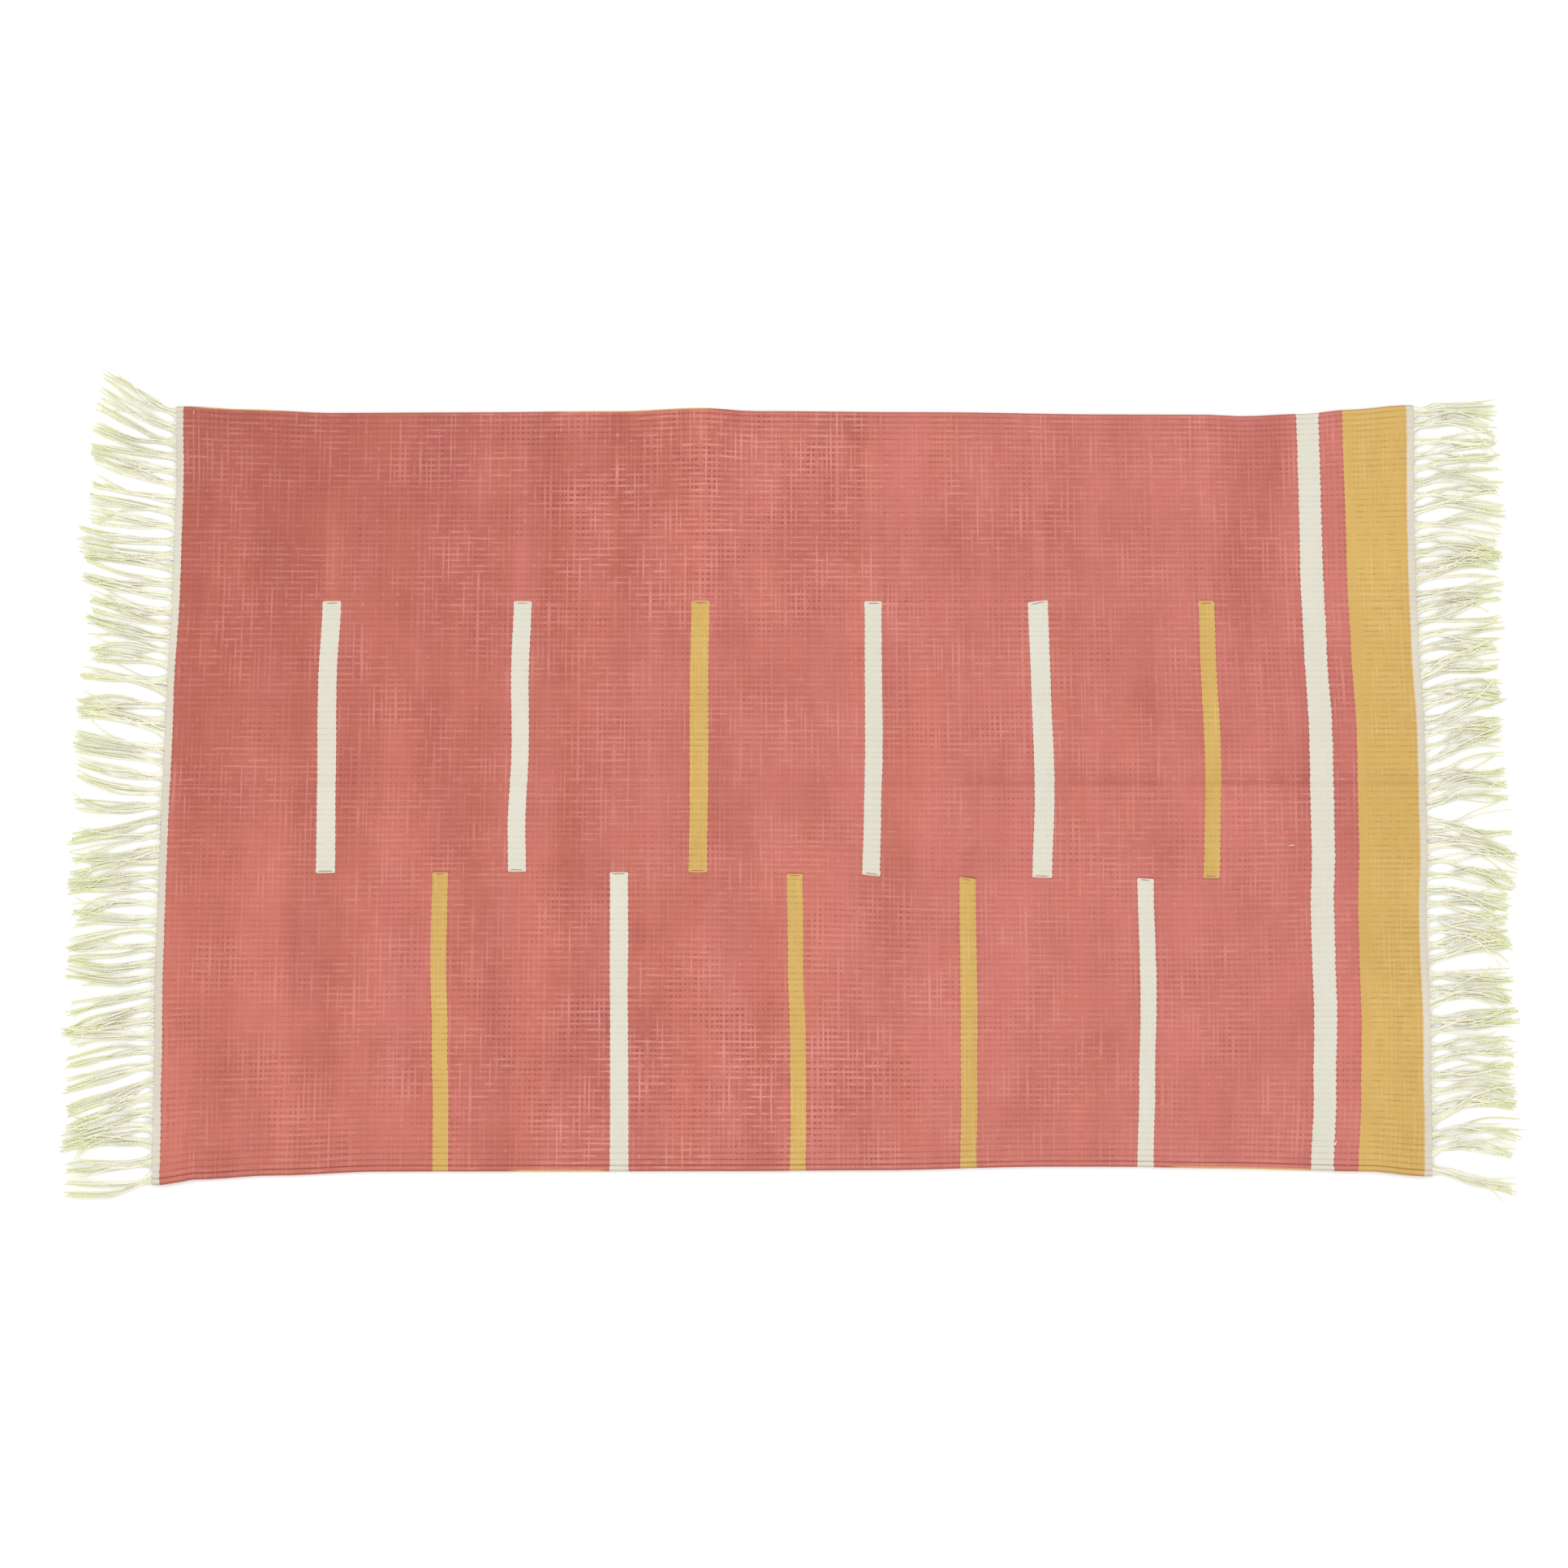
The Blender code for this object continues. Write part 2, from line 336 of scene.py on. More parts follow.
def latticeOf(columns, firstRow, lastRowUsed, holes):
    # a flat grid whose corners are whole numbers: column and row
    across, along = len(columns) - 1, lastRowUsed - firstRow
    bm = bmesh.new()
    bmesh.ops.create_grid(bm, x_segments=across, y_segments=along, size=0.5)
    bmesh.ops.scale(bm, vec=(across, along, 1), verts=bm.verts)
    bmesh.ops.translate(bm, vec=(across / 2, along / 2 + firstRow, 0), verts=bm.verts)
    gone = []
    for face in bm.faces:
        middle = face.calc_center_median()
        u = (columns[int(middle.x)]["u"] + columns[int(middle.x) + 1]["u"]) / 2
        if any(low < u < high and first < middle.y < last for low, high, first, last in holes):
            gone.append(face)
    bmesh.ops.delete(bm, geom=gone, context="FACES")
    return bm


def endRagged(u, i):
    # a bar's short end isn't quite square
    shift = 0.0
    for bar in bars:
        for end, lean in zip(bar["rows"], bar["lean"]):
            if i == end and i > 0 and bar["left"] - onLine <= u <= bar["right"] + onLine:
                shift += ((u - bar["left"]) / (bar["right"] - bar["left"]) - 0.5) * lean * millimetre
    return shift


def clothPiece(name, columns, firstRow, lastRowUsed, holes=(), frayedRows=()):
    bm = latticeOf(columns, firstRow, lastRowUsed, holes)
    grown = bmesh.ops.extrude_face_region(bm, geom=bm.faces[:])
    top = [g for g in grown["geom"] if isinstance(g, bmesh.types.BMVert)]
    bmesh.ops.translate(bm, vec=(0, 0, 1), verts=top)
    bmesh.ops.recalc_face_normals(bm, faces=bm.faces)
    uv = bm.loops.layers.uv.new("Weave")
    jointLayer = bm.verts.layers.float.new("joint")
    tasselShadowLayer = bm.verts.layers.float.new("gap")
    endLayer = bm.verts.layers.float.new("end")
    where = {}
    for vert in bm.verts:
        j, i = round(vert.co.x), round(vert.co.y)
        side = 1 if vert.co.z > 0.5 else -1
        spot = columns[j]
        u, sink = spot["u"], 0.0
        if spot["held"] and spot["held"][0] <= i <= spot["held"][1]:
            sink = spot["sink"]
            vert[jointLayer] = spot["joint"]
            if spot["border"]:
                u = boundaryAt(spot["border"], i) + spot["u"] - spot["border"]["at"]
        vert[tasselShadowLayer] = tasselGapShadow(spot["u"], rows[i][0])
        vert[endLayer] = float(i in frayedRows)
        where[vert] = (u, rows[i][3])
        vert.co = surface(u, i, side, sink)
        vert.co.y += endRagged(spot["u"], i)
    for face in bm.faces:
        face.smooth = True
        for loop in face.loops:
            loop[uv].uv = where[loop.vert]
    for edge in bm.edges:
        # the cut walls between colours meet the faces sharply
        if len(edge.link_faces) == 2 and edge.calc_face_angle(0.0) > 1.0:
            edge.smooth = False
    return addObject(name, meshFrom(bm, name))


def fillColumns(fixed):
    # extra columns between the ones that have to be there
    fixed = sorted(fixed, key=lambda c: c["u"])
    made = []
    for here, there in zip(fixed[:-1], fixed[1:]):
        made.append(here)
        span = there["u"] - here["u"]
        extra = max(0, math.ceil(span / weave["columnStep"]) - 1)
        made += [column(here["u"] + span * (k + 1) / (extra + 1)) for k in range(extra)]
    made.append(fixed[-1])
    return made


allRows = (0, lastRow)
# which way the lighter colour bulges over its neighbour at the ribs, and by how much
borders = {
    "weaveLeft": {"outward": 1, "bulge": 0.00030}, "whiteLeft": {"outward": -1, "bulge": 0.00034},
    "whiteRight": {"outward": 1, "bulge": 0.00046}, "mustardLeft": {"outward": -1, "bulge": 0.00030},
    "weaveRight": {"outward": -1, "bulge": 0.00026},
}
for number, (name, border) in enumerate(borders.items()):
    border.update({"at": bounds[name], "seed": 1 + number, "drift": None})
# how far a bar's front and back ends lean off square, in millimetres
barLean = {
    "long_bar_1": (0.0, 0.3), "long_bar_4": (-0.9, 0.0), "long_bar_5": (-0.4, 2.2),
    "edge_bar_4": (0.0, -1.8), "edge_bar_5": (0.0, -0.8),
}
for number, bar in enumerate(bars):
    bar["rows"] = (rowAt(bar["low"]) if bar["long"] else 0, rowAt(bar["high"]))
    leans = [lean for start, lean in barLean.items() if bar["name"].startswith(start)]
    bar["lean"] = leans[0] if leans else (0.0, 0.0)
    bar["borders"] = [
        {"at": bar[side], "outward": outward, "bulge": bulge, "seed": seed, "drift": bar["drift"]}
        for side, outward, bulge, seed in (
            ("left", -1, 0.00020, 20 + 2 * number), ("right", 1, 0.00026, 21 + 2 * number))
    ]


def endColumns(left, right, held):
    # the columns beside a piece's two seams
    return borderColumns(left, held, 1) + borderColumns(right, held, -1)


def bandPiece(name, left, right):
    fixed = endColumns(borders[left], borders[right], allRows)
    return clothPiece(name, fillColumns(fixed), *allRows)


def coralFieldPiece():
    fixed = endColumns(borders["weaveLeft"], borders["whiteLeft"], allRows)
    holes = []
    for bar in bars:
        left, right = bar["borders"]
        fixed += borderColumns(left, bar["rows"], -1) + borderColumns(right, bar["rows"], 1)
        holes.append((bar["left"], bar["right"], *bar["rows"]))
    return clothPiece("coral_field_weave", fillColumns(fixed), *allRows, holes)


def barPiece(bar):
    fixed = endColumns(*bar["borders"], bar["rows"])
    stops = bar["rows"] if bar["long"] else bar["rows"][1:]
    return clothPiece(bar["name"] + "_weave", fillColumns(fixed), *bar["rows"], frayedRows=stops)


# the heading thins down to where the warp leaves it: place in from its edge, metres off each face
headingSteps = [(0.0026, 0.0), (0.0011, 0.0002), (0.0, 0.0009)]


def headingPiece(name, border, outer):
    inward = 1 if outer < bounds[border] else -1
    fixed = borderColumns(borders[border], allRows, -inward)
    fixed += [column(outer + inward * place, held=allRows, sink=sink) for place, sink in headingSteps]
    return clothPiece(name, fillColumns(fixed), *allRows)


bands = dict(zip(areas[2:5], zip(seams[1:4], seams[2:5])))
cloth = {"coral_field": coralFieldPiece()}
for name, (low, high) in bands.items():
    cloth[name] = bandPiece(name + "_weave", low, high)
for bar in bars:
    cloth[bar["name"]] = barPiece(bar)
cloth["heading_left"] = headingPiece("heading_left_weave", "weaveLeft", leftEnd)
cloth["heading_right"] = headingPiece("heading_right_weave", "weaveRight", rightEnd)
print("cloth made:", len(cloth), "pieces, field faces", len(cloth["coral_field"].data.polygons))

# yarn: one strand is a rolled-up grid, copied and laid along its path
strand = {
    "segments": 40, "sides": 8, "quickSegments": 16, "quickSides": 6,
    "lobe": 0.16,   # how far the two plies stand out
    "taper": ([0, 0.9, 1.0], [1.0, 0.95, 0.72]),
}


def strandTemplate(segments, sides):
    bm = bmesh.new()
    bmesh.ops.create_grid(bm, x_segments=segments, y_segments=sides, size=0.5)
    bmesh.ops.translate(bm, vec=(0.5, 0.5, 0), verts=bm.verts)
    uv = bm.loops.layers.uv.new("Yarn")
    for face in bm.faces:
        face.smooth = True
        for loop in face.loops:
            loop[uv].uv = loop.vert.co.xy
    for vert in bm.verts:
        turn = 2 * math.pi * vert.co.y
        vert.co = (vert.co.x, math.cos(turn), math.sin(turn))
    bmesh.ops.remove_doubles(bm, verts=bm.verts, dist=1e-5)
    bmesh.ops.holes_fill(bm, edges=[e for e in bm.edges if e.is_boundary], sides=0)
    bmesh.ops.recalc_face_normals(bm, faces=bm.faces)
    return meshFrom(bm, "strand_template")


def pointsAt(path, places):
    knots = np.linspace(0, 1, len(path))
    return np.stack([np.interp(places, knots, path[:, k]) for k in range(3)], axis=1)


def layStrands(name, template, strands):
    # each strand has a path of points, a radius, the turns of its plies and a tone
    count = len(template.vertices)
    base = np.zeros(count * 3)
    template.vertices.foreach_get("co", base)
    base = base.reshape(-1, 3)
    bm = bmesh.new()
    for _ in strands:
        bm.from_mesh(template)
    mesh = meshFrom(bm, name)
    placed, tones = [], []
    for item in strands:
        path = np.array(item["path"])
        s = base[:, 0]
        centre = pointsAt(path, s)
        tangent = pointsAt(path, np.minimum(s + 0.02, 1)) - pointsAt(path, np.maximum(s - 0.02, 0))
        tangent /= np.linalg.norm(tangent, axis=1)[:, None]
        across = np.cross(np.array([0.0, 0.0, 1.0]), tangent)
        across /= np.maximum(np.linalg.norm(across, axis=1), 1e-6)[:, None]
        up = np.cross(tangent, across)
        angle = np.arctan2(base[:, 2], base[:, 1])
        lobe = 1 + strand["lobe"] * np.cos(2 * (angle - 2 * math.pi * item["turns"] * s))
        taper = np.interp(s, *strand["taper"])
        radius = (item["radius"] * lobe * taper)[:, None]
        placed.append(centre + radius * (across * base[:, 1:2] + up * base[:, 2:3]))
        tones.append(np.full(count, item["tone"]))
    mesh.vertices.foreach_set("co", np.concatenate(placed).astype(np.float32).ravel())
    tone = mesh.attributes.new("tone", "FLOAT", "POINT")
    tone.data.foreach_set("value", np.concatenate(tones).astype(np.float32))
    mesh.update()
    return addObject(name, mesh)


# fringe: tassels of loose warp yarn lying on the floor
# sideways travel of the tips against where each tassel leaves the heading, in millimetres
tipLean = {
    "left": [(-300, -12), (-270, -6), (-243, -20), (-217, -17), (-200, -6), (-170, -14), (-150, -1),
             (-122, -6), (-105, -2), (-60, -8), (-25, -16), (-16, 3), (0, 14), (30, 16), (72, 5), (92, 6),
             (128, 18), (148, 12), (180, 11), (200, 5), (226, 20), (252, 13), (268, 20), (284, 34),
             (300, 22)],
    "right": [(-300, -20), (-282, 3), (-264, 8), (-228, 1), (-195, 5), (-155, 0), (-130, 6), (-108, -3),
              (-60, -6), (-28, -8), (-12, 8), (0, 15), (36, 13), (50, 19), (66, 9), (105, 9), (165, 7),
              (215, -2), (240, 6), (300, 4)],
}
styles = {
    "left": {
        "spread": (0.0016, 0.0042), "curl": 0.0010, "drift": 0.0026, "gather": 0.40, "bend": 0.0,
        "strands": (2, 3, 3, 4),
    },
    "right": {
        "spread": (0.0030, 0.0056), "curl": 0.0018, "drift": 0.0032, "gather": 0.30, "bend": 0.0035,
        "strands": (3, 4, 5, 6),
    },
}


def grow(s, start):
    return max(0.0, (s - start) / (1 - start)) ** 1.4


def gathered(end):
    # neighbouring tassels lie together in twos and threes: how far each leans to its fellows
    own = random.Random("gathered " + end)
    leans, k = {}, -fringe["perHalf"]
    while k < fringe["perHalf"]:
        count = own.choice((1, 2, 2, 3, 3, 4))
        middle = (k + (count - 1) / 2 + 0.5) * pitch
        for j in range(count):
            root = (k + j + 0.5) * pitch
            leans[k + j] = (middle - root) * styles[end]["gather"] * own.uniform(0.6, 1.2)
        k += count
    return leans


def yarnPath(end, root, rank, tassel, group, aside, own):
    # out of the heading, down to the floor and along it
    edgeX = leftEnd if end == "left" else rightEnd
    ahead = -1 if end == "left" else 1
    isStray = own.random() < stray["share"]
    if isStray:
        drift = own.uniform(*stray["drift"]) * own.choice((-1, 1))
    else:
        drift = own.uniform(-1, 1) * tame["drift"]
    leaves = own.uniform(0.20, 0.50)
    hook = own.uniform(-1, 1) * (stray if isStray else tame)["hook"]
    length = tassel["length"] + own.uniform(-1, 1) * fringe["uneven"]
    length -= own.uniform(0.0, stray["shorter"]) if isStray else 0.0
    layer = group["layer"] + (stray["layer"] if isStray else own.choice(tame["layers"]))
    phase = own.uniform(0, 6.28)
    curl = styles[end]["curl"] * own.uniform(0.3, 1.3) if isStray else tame["curl"]
    turns = own.uniform(3.0, 9.0)
    rootRank = rank * fringe["rootHalf"]
    v = max(-halfWidth, min(halfWidth, root + rootRank))
    startX, startY, startZ = bow(edgeX, v), edgeShift(edgeX, v), lift(edgeX, v)
    rootZ = thickness / 2 + own.uniform(-0.0006, 0.0006)
    points = []
    for k in range(fringe["steps"] + 1):
        s = k / fringe["steps"]
        neck = rootRank + (rank * tassel["neck"] - rootRank) * fade(s, 0.0, fringe["neckAt"])
        parted = fade(s, fringe["neckAt"], group["start"] + 0.35)
        side = root + neck * (1 - parted) + group["place"] * parted + aside * parted
        side += tassel["lean"] * s ** 1.25
        side += tassel["bend"] * math.sin(math.pi * s)
        side += group["drift"] * grow(s, group["start"]) + drift * grow(s, leaves)
        side += group["wave"] * math.sin(group["phase"] + group["turns"] * s) * min(1.0, s * 3)
        side += hook * max(0.0, s - 0.72) ** 2 * 10
        side += curl * math.sin(phase + turns * s) * fade(s, 0.05, 0.35)
        out = (length - abs(tassel["lean"]) * 0.12) * s - fringe["tucked"]
        drop = fade(s, 0.02, 0.20)
        rest = fringe["radius"] * (1.0 + layer * fade(s, 0.15, 0.5))
        rest += 0.0004 * math.sin(phase * 2 + 7 * s) ** 2
        z = (rootZ + startZ) * (1 - drop) + rest * drop
        points.append((edgeX + ahead * out + startX, side + startY, z))
    return points


def tasselStrands(end, root, gather, seed):
    own = random.Random(seed)
    style = styles[end]
    length = fringe["length"][end] + own.gauss(0, 0.7) * fringe["ragged"]
    length += 0.006 * wave(root * 16, len(end), 5.5)
    lean = blendKeys(tipLean[end], root / millimetre) + own.gauss(0, 2.2)
    tassel = {
        "lean": lean * millimetre + gather, "length": length, "bend": own.gauss(0, 0.0022) + style["bend"],
        "neck": fringe["neckHalf"] * own.uniform(0.8, 1.3),
    }
    groups, reach = [], own.uniform(*style["spread"])
    count = own.choice(style["strands"])
    for g in range(count):
        groups.append({
            "place": (2 * g / (count - 1) - 1) * reach + own.uniform(-1, 1) * 0.0006,
            "drift": own.gauss(0, style["drift"]), "start": own.uniform(0.10, 0.45),
            "layer": own.uniform(0.0, 2.0), "wave": own.uniform(-1, 1) * style["curl"] * 1.6,
            "phase": own.uniform(0, 6.28), "turns": own.uniform(4.0, 8.0),
        })
    made = []
    for j in range(fringe["yarns"]):
        rank = (j / (fringe["yarns"] - 1) - 0.5) * 2
        number = j * count // fringe["yarns"]
        together = [k for k in range(fringe["yarns"]) if k * count // fringe["yarns"] == number]
        aside = (j - (together[0] + together[-1]) / 2) * fringe["radius"] * 1.7
        made.append({
            "path": yarnPath(end, root, rank, tassel, groups[number], aside, own),
            "radius": fringe["radius"] * own.uniform(0.80, 1.15),
            "turns": fringe["turns"] * own.uniform(0.8, 1.2), "tone": own.random(),
        })
    return made


template = strandTemplate(strand["segments"], strand["sides"])
fringePieces = {}
sides = {"front": -1, "back": 1}
gathers = {end: gathered(end) for end in styles}
for end in styles:
    for half, side in sides.items():
        laid = []
        for k in range(fringe["perHalf"]):
            place = k if side > 0 else -k - 1
            laid += tasselStrands(end, (place + 0.5) * pitch, gathers[end][place], f"{end} {side * (k + 1)}")
        fringePieces[(end, half)] = layStrands(f"fringe_{end}_{half}", template, laid)
print("fringe pieces made, strands in each:", len(laid))

# warp yarns inside the weft, and the cords inside the selvedges
warp = {"radius": 0.00055, "cordRadius": 0.0010, "cordInset": 0.0023, "steps": 24, "turns": 60}


def runThrough(v, radius):
    points = []
    for k in range(warp["steps"] + 1):
        u = leftEnd + (rightEnd - leftEnd) * k / warp["steps"]
        points.append((u + bow(u, v), v + edgeShift(u, v), lift(u, v) + thickness / 2))
    return {"path": points, "radius": radius, "turns": warp["turns"], "tone": 0.5}


warpTemplate = strandTemplate(24, 5)
warpStrands = [runThrough((low + high) / 2, warp["radius"]) for low, high in zip(edges[:-1], edges[1:])]
warpYarns = layStrands("warp_yarns", warpTemplate, warpStrands)
print("inner yarns made:", len(warpStrands))

# loose picks that cross the bars' short ends, and a few bits of lint
loose = {"pickRadius": 0.00024, "inset": 0.0018, "margin": 0.0022, "steps": 8, "stray": 0.00015}
# place along, place across, direction in degrees, length and thickness in millimetres
lint = [(-0.4810, 0.2950, 84, 3.2, 0.5), (0.3895, -0.0465, 12, 4.4, 0.7), (0.4240, -0.2790, 70, 2.6, 0.9)]


def onTop(u, v, above):
    spot = surface(u, rowAt(v), 1, 0.0)
    spot.z += above
    return tuple(spot)


def endPick(bar, v, inward, seed):
    own = random.Random(seed)
    left = bar["left"] + loose["margin"] * own.uniform(0.6, 1.3)
    right = bar["right"] - loose["margin"] * own.uniform(0.6, 1.3)
    at = v + inward * loose["inset"] * own.uniform(0.8, 1.2)
    lean = bar["lean"][0 if inward > 0 else 1] * millimetre
    drift = blendKeys(bar["drift"], v) * millimetre
    points = []
    for k in range(loose["steps"] + 1):
        t = k / loose["steps"]
        arch = 1.6 * min(1.0, 6 * t, 6 - 6 * t) - 1.0 + 0.35 * math.sin(9 * t + at * 900)
        x, y, z = onTop(left + (right - left) * t + drift, at, loose["pickRadius"] * arch)
        points.append((x, y + (t - 0.5) * lean + own.uniform(-1, 1) * loose["stray"], z))
    radius = loose["pickRadius"] * own.uniform(0.8, 1.2)
    return {"path": points, "radius": radius, "turns": 3, "tone": own.random()}


def endPicks(half):
    made = []
    for bar in bars:
        if bar["long"] or half == "front":
            atLow = bar["long"] and half == "front"
            v, inward = (bar["low"], 1) if atLow else (bar["high"], -1)
            made.append(endPick(bar, v, inward, f"{bar['name']} {half}"))
    return made


def lintBit(u, v, degrees, length, thick):
    turn = math.radians(degrees)
    points = []
    for k in range(7):
        t = k / 6 - 0.5
        out = t * length * millimetre
        x, y, z = onTop(u + out * math.cos(turn), v + out * math.sin(turn), 0.0)
        points.append((x, y + 0.0003 * math.sin(5 * t), z + 0.0002 * math.cos(math.pi * t)))
    return {"path": points, "radius": thick * millimetre / 2, "turns": 2, "tone": 0.1}


pickTemplate = strandTemplate(10, 6)
halves = {}
for half, side in sides.items():
    cord = runThrough(side * (halfWidth - warp["cordInset"]), warp["cordRadius"])
    specks = [lintBit(*bit) for bit in lint if side * (bit[1] - foldY) > 0]
    halves[half] = (
        layStrands("selvedge_cord_yarn_" + half, warpTemplate, [cord]),
        layStrands("bar_end_picks_" + half, pickTemplate, endPicks(half)),
        layStrands("lint_" + half, pickTemplate, specks),
    )

# materials


# what all the yarns have in common
cottonShader = {"Specular IOR Level": 0.25, "Sheen Weight": 0.12, "Sheen Roughness": 0.5}


def newMaterial(name, roughness):
    material = bpy.data.materials.new(name)
    material.use_nodes = True
    shader = material.node_tree.nodes["Principled BSDF"].inputs
    feedAll(shader, {"Roughness": roughness, **cottonShader})
    return material, shader


def feed(socket, value):
    if isinstance(value, bpy.types.NodeSocket):
        socket.id_data.links.new(value, socket)
    else:
        socket.default_value = (*value, 1) if isinstance(value, tuple) else value


def feedAll(sockets, values):
    for label, value in values.items():
        feed(sockets[label], value)


def nodeFor(kind, values, **settings):
    # a new node in the tree that the values come from
    tree = next(v.id_data for v in values if isinstance(v, bpy.types.NodeSocket))
    node = tree.nodes.new("ShaderNode" + kind)
    for setting, choice in settings.items():
        setattr(node, setting, choice)
    return node


def wired(kind, *values, **settings):
    node = nodeFor(kind, values, **settings)
    for socket, value in zip(node.inputs, values):
        feed(socket, value)
    return node.outputs


def maths(operation, *values):
    return wired("Math", *values, operation=operation)[0]


def times(first, *others):
    for other in others:
        first = maths("MULTIPLY", first, other)
    return first


def plus(first, second):
    return maths("ADD", first, second)


def less(first, second):
    return maths("SUBTRACT", first, second)


def scaled(value, share, base):
    return maths("MULTIPLY_ADD", value, share, base)


def larger(first, *others):
    for other in others:
        first = maths("MAXIMUM", first, other)
    return first


def offFrom(value, centre):
    # how far a value lies from a centre, on either side
    return maths("ABSOLUTE", less(value, centre))


def ramp(value, low, high, outLow=0.0, outHigh=1.0):
    return wired("MapRange", value, low, high, outLow, outHigh, interpolation_type="SMOOTHSTEP")[0]


def combine(x, y, z=0.0):
    return wired("CombineXYZ", x, y, z)[0]


def grain(vector, detail=2.0):
    return wired("TexNoise", vector, 0.0, 1.0, detail)[0]


def mixColour(factor, first, second, blend="MIX"):
    node = nodeFor("Mix", (factor, first, second), data_type="RGBA", blend_type=blend)
    feedAll(node.inputs, {"Factor": factor, "A": first, "B": second})
    return node.outputs["Result"]


def addBump(shader, height, strength, distance):
    node = nodeFor("Bump", (height,))
    feedAll(node.inputs, {"Strength": strength, "Distance": distance, "Height": height})
    feed(shader["Normal"], node.outputs[0])


# widths are shares of a rib or of a pick: where a mark begins, and where it's full
weftLook = {
    "ribThread": (0.22, 0.04), "pickThread": (0.22, 0.05), "valley": (0.20, 0.44), "thinValley": (0.35, 0.48),
    "fleck": 0.9, "dot": 0.8, "longDark": 0.40,
    "pickWander": 0.0008, "pickUneven": 2.4,   # in metres, in picks
    "fibresAlong": 1500.0, "fibresAcross": 9.0,  # per metre, per rib
    "edgeRibs": (6.5, 0.8), "edgeGroove": 0.38, "firstGroove": (0.40, 0.50), "rim": (0.34, 0.16),
    "creaseShade": (2.4, -0.4), "creaseStop": (-0.72, -0.52), "creaseLine": 0.56, "crease": 0.62,
    "blocksAlong": 70.0,
    "tone": {"broad": 2.1, "mottle": 1.3, "block": 0.22, "fibre": 0.9},
}
weftInputs = {"Pick Pitch": 0.0040, "Lines": 0.6, "Dots": 0.6, "Dashes": 0.5, "Shift": 0.0}
weftMasks = ("Dark", "Light", "Tone", "Valley", "Height", "Groove", "Rim")


